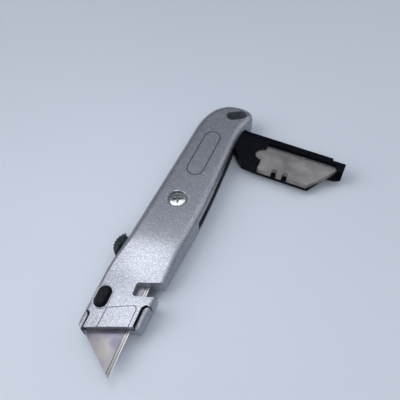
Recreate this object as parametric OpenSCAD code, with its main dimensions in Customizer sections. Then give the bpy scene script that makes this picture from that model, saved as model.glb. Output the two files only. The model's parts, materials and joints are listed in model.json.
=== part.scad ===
// Retractable utility knife with a swing-out blade magazine, lying on its side.
// X runs from the tail to the blade's tip, Y from the spine to the belly, and Z up.
// The origin is on the assembly screw's axis, in the plane the knife rests on.
// It is drawn with the blade run out and the magazine swung open.

/* [Handle] */
// Thickness of the handle behind the nose
body_t = 15.2; // [15:0.1:16]
// Thickness of the slim nose
nose_t = 9.8; // [9.7:0.1:10.2]
// Edge rounding of the handle
edge_r = 3.8; // [2:0.1:4]
// Edge rounding of the nose
nose_edge_r = 1.9; // [1.4:0.1:2]
// Slant of the nose's front edge, in degrees
nose_slant = 19; // [17:1:20]
// Length of the hanging hole, which is a slot with round ends
hang_l = 12; // [10:0.5:12.5]
// Width of the hanging hole
hang_w = 6.7; // [5:0.1:6.8]

/* [Blade] */
// Length of the blade's cutting edge
blade_l = 61; // [60.5:0.5:61.5]
// Width of the blade
blade_w = 18.7; // [18.5:0.1:19]
// Length of the blade's short edge
blade_top_l = 32; // [31:0.5:33]
// Thickness of the blade
blade_t = 0.65; // [0.4:0.05:0.65]
// How far the blade runs back
blade_travel = 25; // [20:1:25]

/* [Release button and slider] */
// Length of the release button
button_l = 10.8; // [10:0.1:11]
// Width of the release button
button_w = 6.3; // [6:0.1:6.4]
// How far the button presses in
button_travel = 1.2; // [1:0.1:1.2]
// How far the thumb slider presses in
press_travel = 1; // [0.8:0.1:1]
// Number of grooves across the thumb slider
slider_grooves = 8; // [6:1:9]

/* [Magazine] */
// Angle the magazine is swung open to
open_angle = 85; // [60:1:85]
// Height of the magazine, across the slot in the belly
mag_h = 6; // [5.8:0.1:6.1]

/* [Hidden] */
$fn = 48;

mid_z = body_t / 2;
nose_top_z = mid_z + nose_t / 2;
far = 200;

// Handle outline: Bezier runs from the tail to the nose, spine side and belly side.
tail_x = -76.5;
taper_x0 = 20;
taper_x1 = 50;
outline_end_x = 84;
spine_runs = [
    [[tail_x, 8.0], [tail_x, -1.6], [-66, -8.6], [-52, -9.3]],
    [[-52, -9.3], [-27, -11], [0, -13.2], [26, -15.3]],
    [[26, -15.3], [35, -16.1], [41, -18], [50, -18]],
    [[50, -18], [62, -18], [72, -18], [outline_end_x, -18]]];
belly_runs = [
    [[tail_x, 11.0], [tail_x, 16.5], [-74.5, 20.5], [-69.3, 20.5]],
    [[-69.3, 20.5], [-65, 20.2], [-61, 16.2], [-48, 16.1]],
    [[-48, 16.1], [-25, 15.7], [0, 16.4], [24, 13.3]],
    [[24, 13.3], [32, 12.4], [42, 11.6], [50, 10.9]],
    [[50, 10.9], [58, 10], [70, 9.6], [outline_end_x, 9.4]]];
tail_steps = 7;
mid_steps = 8;
taper_steps = 8;
nose_steps = 3;
round_steps = 4;

// Inner heights
bay_floor_z = 4.2;
bay_top_z = 10.9;
nose_floor_z = 3.8;
channel_h = 1.2;
mag_gap = 0.3;
slot_z0 = mid_z - mag_h / 2 - mag_gap;
slot_z1 = mid_z + mag_h / 2 + mag_gap;

// Hanging hole, with a shallow step round each mouth
hang_x = -68.7;
hang_y = 11;
hang_angle = 118;
hang_step_w = 0.5;
hang_step_h = 0.6;

// Outline cut round the label panel
label_x = -34.3;
label_y = 2.5;
label_angle = -3.5;
label_l = 34.2;
label_w = 9.8;
label_line = 0.6;
label_depth = 0.4;

// Screw and boss at the origin
cross_w = 1.1;
cross_l = 5;
cross_depth = 1.8;
cross_angle = 20;
recess_chamfer = 0.4;
clear_r = 2.2;
boss_r = 3.4;
head_r = 4.2;
head_h = 2.2;
dome_h = 0.8;
head_recess_r = 4.95;
head_top_z = body_t - 0.1;
shank_r = 1.95;
insert_r = 2.7;
insert_z0 = 2.4;
insert_h = 5;

// Blade
tip_x = 92.7;
cut_y = 4.5;
blade_run = (blade_l - blade_top_l) / 2;
notch_pitch = 6.2;
notch_w = 3.1;
notch_depth = 3.6;
bevel_w = 2.1;
bevel_angle = atan((blade_t / 2 - 0.03) / bevel_w);
notch_mid_x = tip_x - blade_l / 2;
latch_x = notch_mid_x - notch_pitch / 2;
latch_y = cut_y - blade_w + notch_depth - notch_w / 2 - 0.3;

// Release button
button_x = 61.2;
button_y = -12.9;
button_stand = 2;
button_gap = 0.25;
rim_w = 0.4;
rim_h = 0.25;
groove_w = 0.35;
button_floor_z = 9.2;
button_body_z0 = button_floor_z + button_travel + 0.2;
stem_r = 1.1;
stem_z0 = mid_z + blade_t / 2 + 0.33;
button_spring_r = 1.95;
button_spring_top_z = 12.3;

// Latch
pin_x = 37;
pin_y = -9.2;
pin_z = 5.1;
pin_r = 0.6;
lever_z0 = 5.3;
lever_t = 0.7;
latch_spring_x = 33.7;
latch_spring_z0 = 4.9;
latch_tail_z0 = 4.3;
latch_spring_h = 3.2;

// Thumb slider
slider_x = 32.3;
slider_l = 12.6;
slider_w = 7;
pad_stop_y = -17.2;
slider_base_y = pad_stop_y - press_travel;
slider_rise = 3.1;
stem_x = slider_x - 2.9;
stem_l = 5.6;
stem_w = 2.5;
stem_end_y = -8.7;
tooth_w = 1.6;
spine_slot_w = 3;
rail_y0 = -10.8;
rail_y1 = -8.9;
rail_h = 1.2;
rail_notches = 5;

// Magazine pivot and profile, in the closed position, measured from the pivot
pivot_x = -60.2;
pivot_y = 13.8;
pivot_pin_r = 1.25;
knuckle_r = 2.9;
running = 0.05;
mag_l = 65.5;
rail_end = 58;
mag_z0 = mid_z - mag_h / 2;
mag_floor = 1;
sleeve_cover = 0.9;
sleeve_l = 20.8;
thumb_cut_r = 4.6;
thumb_cut_y = -10.6;
spare_x0 = 3;
spare_y0 = -2.2;
spare_pitch = blade_t + 0.07;
mag_floor_outline = [[0, 0], [-2.2, -1.9], [4.2, -13.5], [7.5, -17], [11.6, -20.9], [20, -21.6],
    [50.5, -21.6], [54.6, -14.5], [57.5, -9.6], [62.5, -8.9], [mag_l, -7.3], [mag_l, 0]];

// Front of the nose, the two lips of the lower shell there, and the panel let into it
nose_x = 71.9;
lip_ahead = 0.9;
front_setback = 0.7;
front_edge_t = 1;
spine_lip_y = -15.6;
belly_lip_y = 7.3;
spine_lip_gap = 0.9;
belly_lip_gap = 1.3;
nose_plate_t = 1.5;
nose_plate_gap = 0.24;
nose_plate_outline = [[65.1, -8.9], [80, -9.3], [80, 4.4], [61.8, 4.4], [60.7, 3.8], [60.3, 2.6]];

// ---------- formulas ----------

function mix(a, b, t) = a + (b - a) * t;
function clamp01(t) = min(1, max(0, t));
function ease(t) = let (c = clamp01(t)) c * c * (3 - 2 * c);
function taper(x) = ease((x - taper_x0) / (taper_x1 - taper_x0));
function half_t(x) = mix(body_t, nose_t, taper(x)) / 2;
function round_r(x) = mix(edge_r, nose_edge_r, taper(x));
function bez(p, t) = pow(1 - t, 3) * p[0] + 3 * t * pow(1 - t, 2) * p[1]
    + 3 * t * t * (1 - t) * p[2] + pow(t, 3) * p[3];
function bez_dir(p, t) = pow(1 - t, 2) * (p[1] - p[0]) + 2 * t * (1 - t) * (p[2] - p[1])
    + t * t * (p[3] - p[2]);
function unit(v) = v / norm(v);
// One [point, outward normal] pair per step; side is 1 on the belly and -1 on the spine
function run_samples(p, n, side) = [for (i = [0:n - 1]) let (t = i / n, d = unit(bez_dir(p, t)))
    [bez(p, t), side * [-d[1], d[0]]]];
function end_sample(p, side) = let (d = unit(bez_dir(p, 1))) [[p[3], side * [-d[1], d[0]]]];

spine_samples = concat(run_samples(spine_runs[0], 2 * tail_steps, -1),
    run_samples(spine_runs[1], mid_steps, -1), run_samples(spine_runs[2], taper_steps, -1),
    run_samples(spine_runs[3], nose_steps, -1), end_sample(spine_runs[3], -1));
belly_samples = concat(run_samples(belly_runs[0], tail_steps, 1),
    run_samples(belly_runs[1], tail_steps, 1), run_samples(belly_runs[2], mid_steps, 1),
    run_samples(belly_runs[3], taper_steps, 1), run_samples(belly_runs[4], nose_steps, 1),
    end_sample(belly_runs[4], 1));

// A point on the rounded edge: angle 0 is the flat face, 90 the side wall
function edge_point(s, angle, up) = let (p = s[0], n = s[1], r = round_r(p[0]),
    q = p - n * r * (1 - sin(angle))) [q[0], q[1], mid_z + up * (half_t(p[0]) - r * (1 - cos(angle)))];
function ring(i) = let (a = 90 / round_steps) concat(
    [for (k = [0:round_steps]) edge_point(belly_samples[i], k * a, 1)],
    [for (k = [round_steps:-1:0]) edge_point(belly_samples[i], k * a, -1)],
    [for (k = [0:round_steps]) edge_point(spine_samples[i], k * a, -1)],
    [for (k = [round_steps:-1:0]) edge_point(spine_samples[i], k * a, 1)]);
function coil_point(r, h, turns, i, n) = [r * cos(360 * turns * i / n), r * sin(360 * turns * i / n),
    h * i / n];

// ---------- shared shapes ----------

module outer_body() {
    n = len(spine_samples);
    m = 4 * (round_steps + 1);
    half = m / 2;
    points = [for (i = [0:n - 1]) each ring(i)];
    sides = [for (i = [0:n - 2]) for (k = [0:m - 1]) let (a = i * m + k, b = i * m + (k + 1) % m)
        each [[a, b, b + m], [a, b + m, a + m]]];
    tail_cap = [for (k = [0:half - 2]) each [[k, m - 1 - k, m - 2 - k], [k, m - 2 - k, k + 1]]];
    nose_cap = [for (k = [0:half - 2]) let (o = (n - 1) * m)
        each [[o + k, o + m - 2 - k, o + m - 1 - k], [o + k, o + k + 1, o + m - 2 - k]]];
    polyhedron(points, concat(sides, tail_cap, nose_cap));
}

module slab(z0, z1) {
    translate([-far / 2, -far / 2, z0]) cube([far, far, z1 - z0]);
}

module prism(points, z0, z1) {
    translate([0, 0, z0]) linear_extrude(z1 - z0) polygon(points);
}

// A flat bar with round ends, centred on the origin
module stadium(l, w, h) {
    translate([-(l - w) / 2, -w / 2, 0]) cube([l - w, w, h]);
    for (s = [-1, 1]) translate([s * (l - w) / 2, 0, 0]) cylinder(h = h, d = w);
}

// The same bar with its sides sloping in to a smaller top
module tapered_stadium(l, w, h, inset) {
    straight = l - w;
    translate([-straight / 2, 0, 0]) rotate([90, 0, 90]) linear_extrude(straight)
        polygon([[-w / 2, 0], [w / 2, 0], [w / 2 - inset, h], [inset - w / 2, h]]);
    for (s = [-1, 1]) translate([s * straight / 2, 0, 0])
        cylinder(h = h, r1 = w / 2, r2 = w / 2 - inset);
}

// Everything ahead of the slanted front of the nose
module ahead_of_nose(extra) {
    translate([nose_x + extra, 0, -1]) rotate([0, 0, nose_slant]) translate([0, -50, 0])
        cube([40, 100, body_t + 2]);
}

// Coil spring along Z, with closed flat ends cut at the two heights
module coil(r, wire, h, turns) {
    n = turns * 12;
    sides = 8;
    points = [for (i = [0:n]) let (c = coil_point(r, h - wire, turns, i, n), a = 360 * turns * i / n)
        for (k = [0:sides - 1]) let (b = 360 * k / sides)
            [c[0] + wire / 2 * cos(b) * cos(a), c[1] + wire / 2 * cos(b) * sin(a),
             c[2] + wire / 2 * (1 + sin(b))]];
    walls = [for (i = [0:n - 1]) for (k = [0:sides - 1])
        let (a = i * sides + k, b = i * sides + (k + 1) % sides)
            each [[a, b + sides, b], [a, a + sides, b + sides]]];
    ends = [[for (k = [0:sides - 1]) k], [for (k = [sides - 1:-1:0]) n * sides + k]];
    polyhedron(points, concat(walls, ends));
}

// Blade lying flat, cutting edge along Y = 0 and rear corner at the origin
module blade_shape() {
    difference() {
        translate([0, 0, -blade_t / 2]) linear_extrude(blade_t) difference() {
            polygon([[0, 0], [blade_l, 0], [blade_l - blade_run, -blade_w], [blade_run, -blade_w]]);
            for (s = [-1, 1]) translate([blade_l / 2 + s * notch_pitch / 2, -blade_w]) {
                translate([0, notch_depth - notch_w / 2]) circle(d = notch_w);
                translate([-notch_w / 2, -1]) square([notch_w, notch_depth - notch_w / 2 + 1]);
            }
        }
        for (s = [0, 1]) mirror([0, 0, s]) translate([-1, -bevel_w, blade_t / 2])
            rotate([-bevel_angle, 0, 0]) cube([blade_l + 2, 2 * bevel_w, 1]);
    }
}

// ---------- handle ----------

module spine_lip(gap) {
    edge_y = spine_lip_y + gap;
    prism([[70.2 - gap, -30], [70.2 - gap, edge_y - 1.2], [71.4 - gap, edge_y], [90, edge_y], [90, -30]],
        nose_floor_z, body_t + 1);
}

module belly_lip(gap) {
    edge_y = belly_lip_y - gap;
    prism([[59.4 - gap / 2, 30], [59.1 - gap / 2, edge_y + 1.6], [60.7 - gap / 2, edge_y], [90, edge_y],
        [90, 30]], nose_floor_z, body_t + 1);
}

// Rounded outer corners of the lips' front ends
module lip_corners() {
    prism([[72.5, 5.6], [71.2, 7.6], [69.6, 9], [66.6, 9.9], [66, 14], [76, 14]], -1, body_t + 1);
    prism([[79, -14.6], [77.6, -16.2], [76.4, -17.3], [74.2, -18.1], [74, -22], [84, -22]],
        -1, body_t + 1);
}

// Chamfers that lean the tops of the two lips inward
module lip_chamfers() {
    translate([0, spine_lip_y, nose_top_z - 0.5]) rotate([-20, 0, 0]) translate([60, -10, 0])
        cube([30, 10, 5]);
    translate([0, belly_lip_y + 0.1, nose_top_z - 0.3]) rotate([28, 0, 0]) translate([55, 0, 0])
        cube([40, 12, 6]);
}

module string_notch() {
    prism([[50.6, -0.8], [54.6, -0.8], [56.1, 1.4], [51.9, 16], [44, 16], [49.1, 0.9]], -1, body_t + 1);
    for (x = [50.7, 54.6]) translate([x, 0.8, -1]) cylinder(h = body_t + 2, r = 1.6);
}

module hang_hole() {
    step_l = hang_l + 2 * hang_step_w;
    step_w = hang_w + 2 * hang_step_w;
    translate([hang_x, hang_y, 0]) rotate([0, 0, hang_angle]) {
        translate([0, 0, -1]) stadium(hang_l, hang_w, body_t + 2);
        for (z = [-1, body_t - hang_step_h]) translate([0, 0, z]) stadium(step_l, step_w, 1 + hang_step_h);
    }
}

// Everything hollow inside the two shells
module hollows() {
    // Bay for the carrier and the slider, and the floor under the latch
    prism([[-7, -11], [35, -14], [45.5, -14.9], [45.5, 5.4], [6, 5.4], [5, -4], [-7, -4]],
        bay_floor_z, bay_top_z);
    prism([[5, -12], [35, -14.1], [46, -14.9], [69, -15.2], [69, -4.4], [5, -4.4]],
        nose_floor_z, mid_z);
    // Channel that the blade runs in, open at the nose
    prism([[20, -14.6], [outline_end_x, -14.6], [outline_end_x, 5.6], [6, 5.6], [6, 0], [20, 0]],
        mid_z - channel_h / 2, mid_z + channel_h / 2);
    // Slot along the spine for the slider's stem
    translate([stem_x - blade_travel - stem_l / 2 - 0.5, -30, mid_z - spine_slot_w / 2])
        cube([blade_travel + stem_l + 1, 21, spine_slot_w]);
    // Well for the closed magazine, open at the belly
    prism([[-63.5, 30], [-63.5, 12], [-61.6, 9.6], [-57.4, -1.2], [-50, -7.5], [-40, -8.4], [5, -8.4],
        [6.5, 3], [8.3, 8], [8.3, 30]], slot_z0, slot_z1);
    // Pocket of the magazine's catch spring
    translate([7.4, 6.4, slot_z0 + 0.8]) cube([4, 6.8, slot_z1 - slot_z0 - 1.6]);
    // Lightening pockets beside the bay
    for (x = [14, 27]) translate([x, 7, 3.6]) cube([11, 3.2, body_t - 7.2]);
}

module screw_holes() {
    translate([0, 0, insert_z0]) cylinder(h = insert_h, r = insert_r);
    translate([0, 0, insert_z0]) cylinder(h = body_t, r = clear_r);
    translate([0, 0, head_top_z - head_h - 0.05]) cylinder(h = 5, r = head_recess_r);
    translate([0, 0, body_t - recess_chamfer])
        cylinder(h = 0.5, r1 = head_recess_r, r2 = head_recess_r + 0.5);
}

module pivot_hole() {
    translate([pivot_x, pivot_y, 2.2]) cylinder(h = body_t - 4.4, r = pivot_pin_r);
}

module button_pocket() {
    translate([button_x, button_y, button_floor_z])
        stadium(button_l + 2 * button_gap, button_w + 2 * button_gap, 10);
    translate([latch_x, latch_y, mid_z]) cylinder(h = 5, r = stem_r + 0.15);
}

// The raised rim round the release button, or with an extra width, the groove round the rim
module button_rim(extra, top) {
    grow = 2 * (button_gap + rim_w + extra);
    translate([button_x, button_y, nose_top_z - 0.3]) stadium(button_l + grow, button_w + grow, 0.3 + top);
}

module upper_shell() {
    color([0.62, 0.62, 0.66]) difference() {
        union() {
            difference() {
                intersection() {
                    outer_body();
                    slab(mid_z, body_t + 1);
                }
                hollows();
                button_rim(groove_w, 1);
            }
            translate([0, 0, mid_z]) cylinder(h = 4, r = boss_r);
            button_rim(0, rim_h);
        }
        screw_holes();
        pivot_hole();
        hang_hole();
        string_notch();
        button_pocket();
        spine_lip(spine_lip_gap);
        belly_lip(belly_lip_gap);
        ahead_of_nose(0);
        // The front wall stands back under the edge of the top
        intersection() {
            ahead_of_nose(-front_setback);
            slab(mid_z - 1, nose_top_z - front_edge_t);
        }
        prism(nose_plate_outline, nose_top_z - nose_plate_t, nose_top_z + 1);
        // Outline of the label panel
        translate([label_x, label_y, body_t - label_depth]) rotate([0, 0, label_angle]) difference() {
            stadium(label_l, label_w, 1);
            translate([0, 0, -1]) stadium(label_l - 2 * label_line, label_w - 2 * label_line, 3);
        }
    }
}

module lower_shell() {
    color([0.55, 0.55, 0.59]) difference() {
        union() {
            difference() {
                intersection() {
                    outer_body();
                    union() {
                        slab(-1, mid_z);
                        spine_lip(0);
                        belly_lip(0);
                    }
                }
                hollows();
            }
            translate([0, 0, insert_z0]) cylinder(h = mid_z - insert_z0, r = boss_r);
        }
        screw_holes();
        pivot_hole();
        hang_hole();
        string_notch();
        ahead_of_nose(lip_ahead);
        lip_corners();
        lip_chamfers();
        difference() {
            ahead_of_nose(0);
            spine_lip(0);
            belly_lip(0);
        }
    }
}

module nose_plate() {
    color([0.7, 0.7, 0.73]) difference() {
        prism([for (p = nose_plate_outline) p + nose_plate_gap * [p[0] > 70 ? 0 : 1, p[1] > 0 ? -1 : 1]],
            nose_top_z - nose_plate_t, nose_top_z);
        ahead_of_nose(0);
    }
}

module assembly_screw() {
    dome_r = (pow(head_r, 2) + pow(dome_h, 2)) / (2 * dome_h);
    color([0.8, 0.8, 0.8]) difference() {
        union() {
            intersection() {
                translate([0, 0, head_top_z - head_h]) cylinder(h = head_h, r = head_r);
                translate([0, 0, head_top_z - dome_r]) sphere(r = dome_r, $fn = 96);
            }
            translate([0, 0, insert_z0 + 0.4]) cylinder(h = head_top_z - head_h - insert_z0, r = shank_r);
        }
        for (a = [0, 90]) rotate([0, 0, a + cross_angle])
            translate([-cross_l / 2, -cross_w / 2, head_top_z - cross_depth]) cube([cross_l, cross_w, 3]);
        translate([0, 0, head_top_z - cross_depth]) cylinder(h = 3, r1 = 0.6, r2 = 1.8);
    }
}

module threaded_insert() {
    color([0.72, 0.58, 0.3]) translate([0, 0, insert_z0]) difference() {
        cylinder(h = insert_h, r = insert_r);
        translate([0, 0, -1]) cylinder(h = insert_h + 2, r = shank_r + 0.02);
        for (a = [0:30:330]) rotate([0, 0, a]) translate([insert_r + 0.25, 0, 1])
            cylinder(h = insert_h - 2, r = 0.45);
    }
}

// ---------- release button, latch and blade ----------

module release_button() {
    color([0.1, 0.1, 0.11]) difference() {
        union() {
            translate([button_x, button_y, button_body_z0])
                stadium(button_l, button_w, nose_top_z + 0.3 - button_body_z0);
            translate([button_x, button_y, nose_top_z + 0.3])
                tapered_stadium(button_l, button_w, button_stand - 0.3, 1.2);
            translate([latch_x, latch_y, stem_z0]) cylinder(h = 4, r = stem_r);
        }
        translate([latch_x, latch_y, button_floor_z]) difference() {
            cylinder(h = button_spring_top_z - button_floor_z, r = button_spring_r + 0.35);
            cylinder(h = 9, r = stem_r + 0.3);
        }
    }
}

module button_spring() {
    color([0.6, 0.6, 0.6]) translate([latch_x, latch_y, button_floor_z])
        coil(button_spring_r - 0.15, 0.35, button_spring_top_z - button_floor_z, 4);
}

module blade_latch() {
    color([0.65, 0.66, 0.68]) difference() {
        union() {
            prism([[30.6, -10.4], [38.6, -10.3], [43, -11.2], [56, -13.4], [61.2, -13.4], [61.2, -11.2],
                [57, -10.8], [43, -8.2], [36, -8], [30.6, -8]], lever_z0, lever_z0 + lever_t);
            translate([30.6, -10.4, latch_tail_z0]) cube([5.4, 2.4, lever_z0 + lever_t - latch_tail_z0]);
            translate([pin_x, pin_y + 1.2, pin_z]) rotate([90, 0, 0]) cylinder(h = 2.4, r = 1.15);
            translate([latch_x, latch_y, lever_z0])
                cylinder(h = mid_z + blade_t / 2 + 0.2 - lever_z0, r = stem_r);
        }
        translate([pin_x, pin_y + 3, pin_z]) rotate([90, 0, 0]) cylinder(h = 6, r = pin_r + running);
        // The tail behind the pin is cranked down under its spring
        translate([29, -12, latch_spring_z0]) cube([6.2, 6, 3]);
    }
}

module latch_pin() {
    color([0.75, 0.75, 0.75]) translate([pin_x, pin_y + 2.3, pin_z]) rotate([90, 0, 0])
        cylinder(h = 4.6, r = pin_r);
}

module latch_spring() {
    color([0.6, 0.6, 0.6]) translate([latch_spring_x, pin_y, latch_spring_z0])
        coil(0.85, 0.3, latch_spring_h, 4);
}

module blade_carrier() {
    plate_z0 = 6.2;
    plate_z1 = mid_z - blade_t / 2 - 0.15;
    block_z1 = 9.4;
    color([0.5, 0.52, 0.55]) difference() {
        union() {
            prism([[19, -10.5], [60, -13.6], [67, -13.6], [67, -5], [45.2, -5], [45.2, 4], [30, 4],
                [30, -5.2], [19, -5.2]], plate_z0, plate_z1);
            prism([[19, -10.5], [43.4, -12.3], [33.4, 0.6], [30, 0.6], [30, -5.2], [19, -5.2]],
                plate_z0, block_z1);
            translate([19, -10.4, bay_floor_z + 0.2]) cube([10.6, 5.2, 3]);
            for (y = [pin_y - 2.3, pin_y + 1.3]) translate([pin_x - 1.2, y, pin_z - 0.75]) cube([2.4, 1, 2]);
        }
        // Window for the lever's knuckle, hole for its peg, and pocket of its spring
        translate([pin_x - 1.5, pin_y - 1.3, 3]) cube([3, 2.6, plate_z1 - 3 + 0.4]);
        translate([latch_x, latch_y, 3]) cylinder(h = 6, r = stem_r + 0.45);
        translate([latch_spring_x, pin_y, latch_spring_z0 - 1]) cylinder(h = latch_spring_h + 1, r = 1.25);
        translate([pin_x, pin_y + 4, pin_z]) rotate([90, 0, 0]) cylinder(h = 8, r = pin_r);
        // Pocket of the slider's stem, its tooth and its spring
        translate([stem_x - stem_l / 2 - 0.12, -20, mid_z - stem_w / 2 - 0.12])
            cube([stem_l + 0.24, 13.8, stem_w + 0.24]);
        translate([stem_x - tooth_w / 2 - 0.2, -20, mid_z]) cube([tooth_w + 0.4, 13.8, 4]);
    }
}

module working_blade() {
    color([0.66, 0.65, 0.7]) translate([tip_x - blade_l, cut_y, mid_z]) blade_shape();
}

// ---------- thumb slider ----------

module thumb_slider() {
    rise_r = (pow(slider_l / 2, 2) + pow(slider_rise, 2)) / (2 * slider_rise);
    centre_y = slider_base_y - slider_rise + rise_r;
    spread = 2 * asin(slider_l / 2 / rise_r);
    neck_z0 = mid_z + stem_w / 2 - 0.05;
    color([0.32, 0.34, 0.34]) difference() {
        union() {
            translate([slider_x, 0, mid_z - slider_w / 2]) intersection() {
                translate([0, centre_y, 0]) cylinder(h = slider_w, r = rise_r, $fn = 96);
                translate([-slider_l / 2, slider_base_y - slider_rise - 1, 0])
                    cube([slider_l, slider_rise + 1, slider_w]);
            }
            translate([stem_x - stem_l / 2, slider_base_y - 0.5, mid_z - stem_w / 2])
                cube([stem_l, stem_end_y - slider_base_y + 0.5, stem_w]);
            // Tooth that drops into the rail's notches, on a neck that passes over the spring
            translate([stem_x - tooth_w / 2, stem_end_y - 1.5, neck_z0]) cube([tooth_w, 2.45, 0.75]);
            translate([stem_x - tooth_w / 2, rail_y1 + 0.15, neck_z0]) cube([tooth_w, 1, 1.7]);
        }
        for (i = [0:slider_grooves - 1]) let (a = -90 + spread * ((i + 0.5) / slider_grooves - 0.5))
            translate([slider_x + rise_r * cos(a), centre_y + rise_r * sin(a), -1])
                cylinder(h = body_t, r = 0.5);
    }
}

module slider_spring() {
    color([0.6, 0.6, 0.6]) translate([stem_x, stem_end_y, mid_z]) rotate([-90, 0, 0])
        coil(0.9, 0.3, 2.5, 3);
}

module detent_rail() {
    pitch = blade_travel / (rail_notches - 1);
    color([0.6, 0.6, 0.62]) difference() {
        translate([stem_x - blade_travel - 4, rail_y0, bay_top_z - rail_h])
            cube([blade_travel + 8, rail_y1 - rail_y0, rail_h]);
        for (i = [0:rail_notches - 1])
            translate([stem_x - i * pitch - tooth_w / 2 - 0.3, rail_y1 - 1.1, 8])
                cube([tooth_w + 0.6, 3, 6]);
    }
}

// ---------- magazine ----------

module swung_open() {
    translate([pivot_x, pivot_y, 0]) rotate([0, 0, open_angle]) children();
}

module magazine_plate(z0, h) {
    prism(mag_floor_outline, z0, z0 + h);
}

module blade_magazine() {
    wall_line = [[-2.2, -1.9], [4.2, -13.5], [7.5, -17], [11.6, -20.9], [sleeve_l, -21.6],
        [sleeve_l, -21.05], [14.5, -21.05], [9, -15.8], [3.8, -7.5], [2.4, -3]];
    mag_z1 = mag_z0 + mag_h;
    cover_z0 = mag_z1 - sleeve_cover;
    color([0.05, 0.055, 0.07]) swung_open() difference() {
        union() {
            magazine_plate(mag_z0, mag_floor);
            intersection() {
                magazine_plate(cover_z0, sleeve_cover);
                translate([-5, -30, 0]) cube([sleeve_l + 5, 40, body_t]);
            }
            prism(wall_line, mag_z0, mag_z1);
            prism([[0, knuckle_r], [8, 2.4], [30, 2.2], [rail_end, 1.9], [rail_end, -1.2], [0, -1.2]],
                mag_z0, mag_z1);
            prism([[rail_end - 0.1, 0.4], [mag_l, 0.4], [mag_l, -1.2], [rail_end - 0.1, -1.2]],
                mag_z0, mag_z1);
            prism([[mag_l - 1.2, 0.4], [mag_l, 0.4], [mag_l, -7.3], [mag_l - 1.2, -7]], mag_z0, mag_z1);
            prism([[60, 0], [mag_l, 0], [mag_l, -6.2], [62.5, -6.2]], cover_z0, mag_z1);
            translate([0, 0, mag_z0]) cylinder(h = mag_h, r = knuckle_r);
        }
        translate([0, 0, mag_z0 - 1]) cylinder(h = mag_h + 2, r = pivot_pin_r + running);
        // Half-round thumb opening in the sleeve's edge
        translate([sleeve_l, thumb_cut_y, cover_z0 - 0.1]) cylinder(h = 4, r = thumb_cut_r);
        // Fine grooves along the rail, two in its outer edge and two in its top
        for (z = [mag_z0 + 1.7, mag_z0 + 3.7]) translate([4, 0, z]) rotate([0, 0, -0.7])
            translate([0, 2.1, 0]) cube([rail_end, 3, 0.6]);
        for (y = [-0.1, 1]) translate([4, y, mag_z1 - 0.35]) cube([rail_end, 0.45, 1]);
    }
}

module magazine_pivot_pin() {
    color([0.75, 0.75, 0.75]) translate([pivot_x, pivot_y, 2.2])
        cylinder(h = body_t - 4.4, r = pivot_pin_r);
}

module magazine_catch_spring() {
    leaf = 0.4;
    color([0.6, 0.6, 0.62]) translate([0, 0, slot_z0 + 1.2]) linear_extrude(slot_z1 - slot_z0 - 2.4)
        union() {
            translate([10.7, 6.8]) square([leaf, 6]);
            translate([7.6, 6.8]) square([3.4, leaf]);
            translate([7.6, 6.8]) square([leaf, 2.2]);
            translate([7.8, 9.8]) difference() {
                circle(r = 1.2);
                circle(r = 1.2 - leaf);
                translate([0, -2]) square([2, 4]);
            }
            translate([7.6, 10.6]) square([leaf, 1.4]);
        }
}

module spare_blade(i) {
    color([0.5, 0.49, 0.49]) swung_open()
        translate([spare_x0, spare_y0, mag_z0 + mag_floor + 0.05 + blade_t / 2 + (i - 1) * spare_pitch])
            blade_shape();
}

upper_shell();
lower_shell();
nose_plate();
assembly_screw();
threaded_insert();
release_button();
button_spring();
thumb_slider();
slider_spring();
detent_rail();
blade_carrier();
blade_latch();
latch_pin();
latch_spring();
working_blade();
blade_magazine();
magazine_pivot_pin();
magazine_catch_spring();
spare_blade(1);  // spare_blade_1
spare_blade(2);  // spare_blade_2
spare_blade(3);  // spare_blade_3
spare_blade(4);  // spare_blade_4
spare_blade(5);  // spare_blade_5
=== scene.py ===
"""Looks of the utility knife: materials, softened edges, studio light and camera.

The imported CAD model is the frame. Lengths are in metres unless a name says mm.
X runs from the tail to the blade's tip, Y from the spine to the belly, Z up.
"""

import json
import math

import bmesh
import bpy
from mathutils import Matrix, Vector
from mathutils.bvhtree import BVHTree


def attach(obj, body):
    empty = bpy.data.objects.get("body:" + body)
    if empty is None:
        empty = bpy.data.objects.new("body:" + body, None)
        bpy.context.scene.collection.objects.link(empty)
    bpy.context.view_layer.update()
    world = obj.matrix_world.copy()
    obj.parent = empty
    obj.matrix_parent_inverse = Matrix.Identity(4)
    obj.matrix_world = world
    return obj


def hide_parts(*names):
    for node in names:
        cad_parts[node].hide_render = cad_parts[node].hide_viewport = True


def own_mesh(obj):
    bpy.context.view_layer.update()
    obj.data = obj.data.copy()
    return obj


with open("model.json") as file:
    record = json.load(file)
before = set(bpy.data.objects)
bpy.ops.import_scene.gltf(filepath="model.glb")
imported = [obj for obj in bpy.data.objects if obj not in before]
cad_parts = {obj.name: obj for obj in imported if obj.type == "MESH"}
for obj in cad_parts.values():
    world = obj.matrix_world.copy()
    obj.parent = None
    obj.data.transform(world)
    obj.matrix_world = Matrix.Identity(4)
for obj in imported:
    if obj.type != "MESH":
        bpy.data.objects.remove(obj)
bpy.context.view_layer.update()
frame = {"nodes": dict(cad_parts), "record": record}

MM = 0.001

# Camera
CAMERA_AT = Vector((0.12467, 0.06293, 0.20763))
LOOK_AZIMUTH = -158.02      # degrees from +X
LOOK_DOWN = 54.48           # degrees below the horizon
CAMERA_ROLL = -2.51         # degrees
LENS_MM = 40.98
SENSOR_MM = 36.0
NEAREST, FARTHEST = 0.01, 10

# Table and light
TABLE_HALF = 1.5
COOL_WHITE = (0.97, 0.98, 1.0)
WARM_WHITE = (1.0, 0.99, 0.98)
# Colour of the room at each height, from 0 at the horizon to 1 overhead
SKY = ((0.10, (0.12, 0.13, 0.15)), (0.66, (0.11, 0.12, 0.14)), (0.86, (0.19, 0.21, 0.245)),
       (1.0, (0.32, 0.34, 0.38)))

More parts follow.
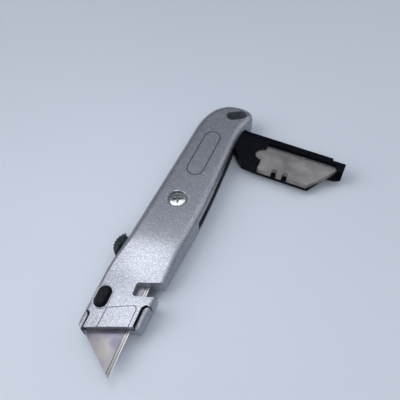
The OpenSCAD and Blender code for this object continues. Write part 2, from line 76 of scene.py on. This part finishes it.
# Edges
WELD = 2e-6
SHARP_ANGLE = math.radians(32)
FLAT_ANGLE = math.radians(0.4)
BEVEL_SEGMENTS = 3
BEVELS_MM = {
    "upper_shell": 0.18, "lower_shell": 0.2, "nose_plate": 0.15, "assembly_screw": 0.06,
    "threaded_insert": 0.08, "release_button": 0.35, "thumb_slider": 0.15, "detent_rail": 0.08,
    "blade_carrier": 0.1, "blade_latch": 0.1, "latch_pin": 0.08, "blade_magazine": 0.2,
    "magazine_pivot_pin": 0.1, "magazine_catch_spring": 0.06,
    "button_spring": 0, "slider_spring": 0, "latch_spring": 0,
}

# Bevel of the blade that is run out, across the knife, over which the painted reflection bands run
BEVEL_START_Y_MM = 2.4
BLADE_EDGE_Y_MM = 4.5
# Z of a face's normal on a blade's bevel: less than on the flats, more than on the side walls
BEVEL_NORMAL_Z = (0.9, 0.9995)

# Where a shell's face can be inside, and how far across a hollow the next wall is at most; such
# faces get the dark bare casting, which is painted shade
INSIDE_X = (-0.0645, 0.0720)
INSIDE_Z = (0.0035, 0.0112)
HOLLOW_SPAN = 0.045
RAY_START = 1e-5
# The string notch, painted all through
NOTCH_X = (0.044, 0.0575)
NOTCH_Y = -0.001
# Floor of the groove round the label panel, on the tail's half of the top, which gets painted shade
GROOVE_Z = (0.0146, 0.0150)
GROOVE_X = -0.012
UPWARD = 0.9
# Cross recess in the screw's head, with its start and end below the head's top; its steel is
# darkened as painted shade
DRIVE_RADIUS = 0.0026
DRIVE_TOP = 0.00025
DRIVE_DEPTH = 0.0020

BODY_OF = {node: body for body, nodes in frame["record"]["behaviour"]["bodies"].items()
           for node in nodes}
# For each spring, the joint that presses it, its axis number and the end that stays still
SPRINGS = {
    "slider_spring": ("slider_press", 1, "high"),
    "button_spring": ("button_press", 2, "low"),
    "latch_spring": ("latch_release", 2, "high"),
}


# ---------- node helpers ----------

SOCKETS = {"metallic": "Metallic", "coat_weight": "Coat Weight", "coat_roughness": "Coat Roughness",
           "specular": "Specular IOR Level", "anisotropic": "Anisotropic"}


class Shader:
    """A material being built. Texture coordinates are in millimetres of the piece's own space."""

    def __init__(self, name, **inputs):
        self.material = bpy.data.materials.new(name)
        self.material.use_nodes = True
        self.tree = self.material.node_tree
        self.bsdf = self.tree.nodes["Principled BSDF"]
        for key, value in inputs.items():
            self.bsdf.inputs[SOCKETS[key]].default_value = value
        coords = self.add("ShaderNodeTexCoord")
        mapping = self.add("ShaderNodeMapping")
        mapping.inputs["Scale"].default_value = (1 / MM, 1 / MM, 1 / MM)
        self.link(coords.outputs["Object"], mapping.inputs["Vector"])
        self.mm = mapping.outputs["Vector"]

    def add(self, kind, **settings):
        node = self.tree.nodes.new(kind)
        for key, value in settings.items():
            setattr(node, key, value)
        return node

    def link(self, output, socket):
        self.tree.links.new(output, socket)

    def stretched(self, scale):
        """The millimetre coordinates times a scale for each axis."""
        node = self.add("ShaderNodeVectorMath", operation="MULTIPLY")
        self.link(self.mm, node.inputs[0])
        node.inputs[1].default_value = scale
        return node.outputs["Vector"]

    def noise(self, scale, detail=3.0, roughness=0.55, vector=None):
        node = self.add("ShaderNodeTexNoise")
        node.inputs["Scale"].default_value = scale
        node.inputs["Detail"].default_value = detail
        node.inputs["Roughness"].default_value = roughness
        self.link(vector or self.mm, node.inputs["Vector"])
        return node.outputs["Fac"]

    def cells(self, scale):
        """A random grey for each small cell."""
        node = self.add("ShaderNodeTexVoronoi")
        node.inputs["Scale"].default_value = scale
        self.link(self.mm, node.inputs["Vector"])
        grey = self.add("ShaderNodeSeparateColor")
        self.link(node.outputs["Color"], grey.inputs["Color"])
        return grey.outputs["Red"]

    def ramp(self, value, *stops):
        """Colour ramp from (position, colour) stops. A number stands for a grey."""
        node = self.add("ShaderNodeValToRGB")
        elements = node.color_ramp.elements
        elements[0].position = stops[0][0]
        elements[1].position = stops[-1][0]
        for position, _ in stops[1:-1]:
            elements.new(position)
        for element, (_, colour) in zip(elements, stops):
            rgb = colour if isinstance(colour, tuple) else (colour,) * 3
            element.color = (*rgb, 1.0)
        self.link(value, node.inputs["Fac"])
        return node.outputs["Color"]

    def mix(self, a, b, factor, blend="MIX"):
        node = self.add("ShaderNodeMix", data_type="RGBA", blend_type=blend)
        node.inputs["Factor"].default_value = factor
        self.link(a, node.inputs["A"])
        self.link(b, node.inputs["B"])
        return next(s for s in node.outputs if s.type == "RGBA")

    def bump(self, height, strength, depth_mm, below=None):
        node = self.add("ShaderNodeBump")
        node.inputs["Strength"].default_value = strength
        node.inputs["Distance"].default_value = depth_mm * MM
        self.link(height, node.inputs["Height"])
        if below is not None:
            self.link(below, node.inputs["Normal"])
        return node.outputs["Normal"]

    def finish(self, colour, roughness, normal=None):
        self.link(colour, self.bsdf.inputs["Base Color"])
        self.link(roughness, self.bsdf.inputs["Roughness"])
        if normal is not None:
            self.link(normal, self.bsdf.inputs["Normal"])
        return self.material


# ---------- materials ----------

def silver_paint():
    """Metallic paint with fine flakes and a slight orange peel."""
    flakes_per_mm, grain_per_mm = 5.6, 3.6
    s = Shader("silver_paint", metallic=0.8, coat_weight=0.35, coat_roughness=0.22)
    flakes = s.cells(flakes_per_mm)
    grain = s.noise(grain_per_mm, 3.0, 0.6)
    base = s.ramp(grain, (0.36, (0.225, 0.235, 0.28)), (0.66, (0.335, 0.35, 0.41)))
    colour = s.mix(base, s.ramp(flakes, (0.0, (0.10, 0.105, 0.125)), (0.75, (0.36, 0.375, 0.43)),
                                (1.0, (0.92, 0.94, 0.98))), 0.58)
    roughness = s.ramp(s.noise(grain_per_mm), (0.35, 0.33), (0.65, 0.42))
    peel = s.bump(s.noise(1.1, 2.0), 0.15, 0.05)
    return s.finish(colour, roughness, s.bump(s.cells(flakes_per_mm), 0.28, 0.028, peel))


def groove_painted_shade():
    """Dark paint on the floor of a fine groove, which is painted shade."""
    s = Shader("groove_painted_shade", metallic=0.5, specular=0.3)
    colour = s.ramp(s.noise(1.5, 3.0), (0.35, (0.05, 0.053, 0.062)), (0.68, (0.09, 0.095, 0.11)))
    return s.finish(colour, s.ramp(s.noise(2.0), (0.3, 0.5), (0.7, 0.6)))


def bare_casting_with_painted_shade():
    """Unpainted inside of the shells: dull zinc made near black, which is painted shade for the
    hollows.
    """
    s = Shader("bare_casting_with_painted_shade", metallic=0.6, specular=0.2)
    colour = s.ramp(s.noise(0.8, 4.0), (0.35, (0.035, 0.037, 0.042)), (0.68, (0.06, 0.063, 0.07)))
    rough = s.ramp(s.noise(1.5), (0.3, 0.5), (0.7, 0.62))
    return s.finish(colour, rough, s.bump(s.noise(3.0, 2.0), 0.15, 0.02))


def black_plastic(name, roughness, grain, lift, shine):
    """Moulded black plastic: fine spark texture with faint paler scuffs."""
    s = Shader(name, specular=shine)
    scuffs = s.noise(0.35, 6.0, 0.7)
    colour = s.ramp(scuffs, (0.45, (0.003, 0.0035, 0.006)), (0.75, (lift, lift * 1.1, lift * 1.5)))
    rough = s.ramp(s.noise(1.3), (0.3, roughness - 0.06), (0.7, roughness + 0.08))
    return s.finish(colour, rough, s.bump(s.noise(grain, 2.0), 0.3, 0.03))


def plated_metal(name, dark, light, roughness):
    """Plated or plain metal with a little tarnish and fine machining texture."""
    s = Shader(name, metallic=1.0)
    colour = s.ramp(s.noise(1.2, 4.0), (0.35, dark), (0.68, light))
    rough = s.ramp(s.noise(3.0), (0.3, roughness - 0.06), (0.7, roughness + 0.08))
    return s.finish(colour, rough, s.bump(s.noise(4.0, 2.0), 0.12, 0.02))


def blade_flat(name, tint):
    """Ground blade steel: cloudy oil tints and faint lines across the blade."""
    s = Shader(name, metallic=1.0, anisotropic=0.3)
    clouds = s.noise(0.10, 3.0, 0.55)
    streaks = s.noise(1.0, 4.0, 0.6, s.stretched((6.0, 0.25, 1.0)))
    base = s.ramp(clouds, (0.34, tint[0]), (0.5, tint[1]), (0.62, tint[2]))
    colour = s.mix(base, s.ramp(streaks, (0.3, 0.78), (0.7, 1.0)), 0.35, "MULTIPLY")
    rough = s.ramp(s.noise(0.25, 5.0, 0.6), (0.3, 0.30), (0.7, 0.44))
    return s.finish(colour, rough, s.bump(streaks, 0.10, 0.01))


def honed_edge_painted_reflections():
    """The run-out blade's bevel with grinding lines and painted reflections: a dark band where the
    bevel starts and a painted highlight at the very edge.
    """
    s = Shader("honed_blade_edge_painted_reflections", metallic=1.0)
    lines = s.noise(1.0, 3.0, 0.7, s.stretched((7.0, 0.8, 1.0)))
    split = s.add("ShaderNodeSeparateXYZ")
    s.link(s.mm, split.inputs["Vector"])
    across = s.add("ShaderNodeMapRange")
    across.inputs["From Min"].default_value = BEVEL_START_Y_MM
    across.inputs["From Max"].default_value = BLADE_EDGE_Y_MM
    s.link(split.outputs["Y"], across.inputs["Value"])
    # Painted reflections: dark and bright bands across the bevel stand in for the light it mirrors
    reflection_bands = s.ramp(across.outputs["Result"], (0.0, 0.10), (0.16, 0.10), (0.24, 0.30), (0.50, 0.38),
                   (0.60, 0.16), (0.72, 0.22), (0.86, 0.62), (1.0, 0.72))
    colour = s.mix(reflection_bands, s.ramp(lines, (0.32, 0.55), (0.68, 1.0)), 0.8, "MULTIPLY")
    return s.finish(colour, s.ramp(lines, (0.3, 0.24), (0.7, 0.36)), s.bump(lines, 0.2, 0.01))


def blade_edge():
    """A spare blade's bevel, with grinding lines square to the edge."""
    s = Shader("blade_edge_steel", metallic=1.0)
    lines = s.noise(1.0, 3.0, 0.6, s.stretched((9.0, 0.6, 1.0)))
    colour = s.ramp(lines, (0.3, (0.28, 0.28, 0.29)), (0.7, (0.44, 0.44, 0.45)))
    rough = s.ramp(lines, (0.3, 0.24), (0.7, 0.36))
    return s.finish(colour, rough, s.bump(lines, 0.2, 0.01))


def table_top():
    s = Shader("pale_table", specular=0.35)
    colour = s.ramp(s.noise(0.004, 2.0), (0.3, (0.49, 0.535, 0.61)), (0.7, (0.51, 0.555, 0.63)))
    rough = s.ramp(s.noise(0.02, 2.0), (0.3, 0.40), (0.7, 0.46))
    return s.finish(colour, rough)


MATERIALS = {
    "silver_paint": silver_paint(),
    "bare_casting_with_painted_shade": bare_casting_with_painted_shade(),
    "groove_painted_shade": groove_painted_shade(),
    "screw_steel": plated_metal("bright_screw_steel", (0.62, 0.62, 0.61), (0.82, 0.82, 0.81), 0.24),
    "brass": plated_metal("brass", (0.50, 0.36, 0.14), (0.72, 0.55, 0.25), 0.33),
    "black_plastic": black_plastic("button_plastic", roughness=0.42, grain=3.0, lift=0.012,
                                   shine=0.1),
    "magazine_plastic": black_plastic("magazine_plastic", roughness=0.40, grain=2.2, lift=0.007,
                                      shine=0.05),
    "slider_chrome": plated_metal("dark_chrome", (0.035, 0.046, 0.05), (0.13, 0.155, 0.162), 0.22),
    "recess_painted_shade": plated_metal("screw_recess_painted_shade", (0.20, 0.20, 0.20), (0.40, 0.40, 0.40), 0.4),
    "carrier_steel": plated_metal("carrier_steel", (0.38, 0.39, 0.40), (0.58, 0.59, 0.60), 0.38),
    "spring_steel": plated_metal("spring_steel", (0.45, 0.45, 0.46), (0.68, 0.68, 0.69), 0.28),
    "blade_steel": blade_flat("spare_blade_steel", ((0.36, 0.345, 0.335), (0.42, 0.40, 0.39),
                                                    (0.48, 0.46, 0.455))),
    "working_blade_steel": blade_flat("working_blade_steel", ((0.165, 0.155, 0.215),
                                                              (0.225, 0.218, 0.245),
                                                              (0.27, 0.26, 0.25))),
    "blade_edge": blade_edge(),
    "honed_edge_painted_reflections": honed_edge_painted_reflections(),
}


# ---------- pieces from the CAD nodes ----------

def refined(node, bevel_mm):
    """A copy of a CAD node with welded faces, softened edges and smooth shading."""
    shape = bmesh.new()
    shape.from_mesh(frame["nodes"][node].data)
    bmesh.ops.remove_doubles(shape, verts=shape.verts, dist=WELD)
    bmesh.ops.dissolve_limit(shape, angle_limit=FLAT_ANGLE, verts=shape.verts, edges=shape.edges)
    for face in shape.faces:
        face.smooth = True
    mesh = bpy.data.meshes.new(node + "_finish")
    shape.to_mesh(mesh)
    shape.free()
    piece = bpy.data.objects.new(node + "_finish", mesh)
    bpy.context.scene.collection.objects.link(piece)
    if bevel_mm:
        bevel = piece.modifiers.new("softened edges", "BEVEL")
        bevel.width = bevel_mm * MM
        bevel.segments = BEVEL_SEGMENTS
        bevel.limit_method = "ANGLE"
        bevel.angle_limit = SHARP_ANGLE
        bevel.use_clamp_overlap = True
    normals = piece.modifiers.new("even shading", "WEIGHTED_NORMAL")
    normals.keep_sharp = True
    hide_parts(node)
    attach(piece, BODY_OF[node])
    return piece


def slot_of(node):
    return next(part["material_slot"] for part in frame["record"]["subparts"]
                if part["node"] == node)


def paint(piece, *names):
    piece.data.materials.clear()
    for name in names:
        piece.data.materials.append(MATERIALS[name])


def within(value, limits):
    return limits[0] < value < limits[1]


def paint_blade(piece, flat, edge):
    """Flats in one steel, and the tilted faces of the bevel in the other."""
    paint(piece, flat, edge)
    for face in piece.data.polygons:
        face.material_index = int(within(abs(face.normal.z), BEVEL_NORMAL_Z))


def shell_walls():
    """Both shells as one tree for casting rays between their faces."""
    points, faces = [], []
    for node in ("upper_shell", "lower_shell"):
        mesh = frame["nodes"][node].data
        faces += [[len(points) + i for i in face.vertices] for face in mesh.polygons]
        points += [v.co for v in mesh.vertices]
    return BVHTree.FromPolygons(points, faces)


def paint_shell(piece, walls):
    """Silver outside, bare casting darkened as painted shade where a face looks across a hollow,
    and painted shade on the floor of the label groove.
    """
    paint(piece, "silver_paint", "bare_casting_with_painted_shade", "groove_painted_shade")
    for face in piece.data.polygons:
        centre = face.center
        # Painted shade: the floor of the label groove gets the dark groove paint
        if within(centre.z, GROOVE_Z) and face.normal.z > UPWARD and centre.x < GROOVE_X:
            face.material_index = 2
        in_notch = within(centre.x, NOTCH_X) and centre.y > NOTCH_Y
        if in_notch or not (within(centre.x, INSIDE_X) and within(centre.z, INSIDE_Z)):
            continue
        # Painted shade: a face that looks across a hollow at a near wall gets the near-black bare
        # casting
        if walls.ray_cast(centre + face.normal * RAY_START, face.normal, HOLLOW_SPAN)[0]:
            face.material_index = 1


def paint_screw(piece):
    """Plated steel, darkened in the cross recess as painted shade."""
    paint(piece, "screw_steel", "recess_painted_shade")
    top = max(v.co.z for v in piece.data.vertices)
    recess_z = (top - DRIVE_DEPTH, top - DRIVE_TOP)
    for face in piece.data.polygons:
        centre = face.center
        # Painted shade: faces in the cross recess get the darker steel
        if math.hypot(centre.x, centre.y) < DRIVE_RADIUS and within(centre.z, recess_z):
            face.material_index = 1


def build_pieces():
    walls = shell_walls()
    for node, bevel_mm in BEVELS_MM.items():
        piece = refined(node, bevel_mm)
        if node.endswith("_shell"):
            paint_shell(piece, walls)
        elif node == "assembly_screw":
            paint_screw(piece)
        else:
            paint(piece, slot_of(node))
    paint_blade(refined("working_blade", 0), "working_blade_steel", "honed_edge_painted_reflections")
    for node in frame["nodes"]:
        if node.startswith("spare_blade"):
            paint_blade(refined(node, 0), "blade_steel", "blade_edge")


# ---------- springs ----------


def close_coils(node, axis):
    """Gives the spring's piece a mesh of its own; the coils are not shortened here."""
    direction = Vector((0, 0, 0))
    direction[axis] = 1
    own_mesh(bpy.data.objects[node + "_finish"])


# ---------- floor, light and camera ----------

def build_floor():
    half = TABLE_HALF
    mesh = bpy.data.meshes.new("table_top")
    corners = [(-half, -half, 0), (half, -half, 0), (half, half, 0), (-half, half, 0)]
    mesh.from_pydata(corners, [], [(0, 1, 2, 3)])
    floor = bpy.data.objects.new("table_top", mesh)
    mesh.materials.append(table_top())
    bpy.context.scene.collection.objects.link(floor)


def build_world():
    """Soft room light: bright overhead, dimmer towards the horizon."""
    world = bpy.data.worlds.new("soft_room")
    bpy.context.scene.world = world
    world.use_nodes = True
    nodes, links = world.node_tree.nodes, world.node_tree.links
    coords = nodes.new("ShaderNodeTexCoord")
    split = nodes.new("ShaderNodeSeparateXYZ")
    ramp = nodes.new("ShaderNodeValToRGB")
    steps = ramp.color_ramp.elements
    while len(steps) < len(SKY):
        steps.new(1.0)
    for step, (height, colour) in zip(steps, SKY):
        step.position = height
        step.color = (*colour, 1)
    links.new(coords.outputs["Generated"], split.inputs["Vector"])
    links.new(split.outputs["Z"], ramp.inputs["Fac"])
    links.new(ramp.outputs["Color"], nodes["Background"].inputs["Color"])
    nodes["Background"].inputs["Strength"].default_value = 1.0


def seen_from(azimuth, elevation, distance):
    """The point at that distance from the origin, in degrees from +X and above the horizon."""
    a, e = math.radians(azimuth), math.radians(elevation)
    return distance * Vector((math.cos(e) * math.cos(a), math.cos(e) * math.sin(a), math.sin(e)))


def area_light(name, place, aim, size, power, colour=COOL_WHITE):
    """A square soft light at a place, facing the aim."""
    data = bpy.data.lights.new(name, "AREA")
    data.energy = power
    data.size = size
    data.color = colour
    light = bpy.data.objects.new(name, data)
    light.location = place
    light.rotation_euler = (place - aim).to_track_quat("Z", "Y").to_euler()
    bpy.context.scene.collection.objects.link(light)


def build_lights():
    origin, nose = Vector((0, 0, 0)), Vector((0.06, 0, 0.0125))
    area_light("key_softbox", seen_from(296, 42, 1.5), origin, 1.2, 15.0, WARM_WHITE)
    area_light("front_softbox", seen_from(28, 48, 1.2), origin, size=0.5, power=4.8)
    area_light("overhead_softbox", Vector((-0.18, 0.07, 0.9)), Vector((0.05, 0, 0)), size=0.65,
               power=1.65)
    area_light("back_softbox", seen_from(125, 37, 1.2), origin, size=1.0, power=2.6)
    area_light("nose_panel", Vector((0.016, -0.050, 0.178)), nose, size=0.04, power=0.042)


def build_camera():
    data = bpy.data.cameras.new("camera")
    data.lens = LENS_MM
    data.sensor_width = SENSOR_MM
    data.clip_start, data.clip_end = NEAREST, FARTHEST
    camera = bpy.data.objects.new("camera", data)
    azimuth, down, roll = (math.radians(v) for v in (LOOK_AZIMUTH, LOOK_DOWN, CAMERA_ROLL))
    ahead = Vector((math.cos(down) * math.cos(azimuth), math.cos(down) * math.sin(azimuth),
                    -math.sin(down)))
    level = ahead.cross(Vector((0, 0, 1))).normalized()
    above = level.cross(ahead)
    right = math.cos(roll) * level + math.sin(roll) * above
    up = right.cross(ahead)
    turn = Matrix((right, up, -ahead)).transposed()
    camera.matrix_world = Matrix.Translation(CAMERA_AT) @ turn.to_4x4()
    bpy.context.scene.collection.objects.link(camera)
    bpy.context.scene.camera = camera


build_pieces()
for node, (joint_name, axis, fixed_end) in SPRINGS.items():
    close_coils(node, axis)
build_floor()
build_world()
build_lights()
build_camera()
bpy.context.scene.view_settings.view_transform = "Standard"
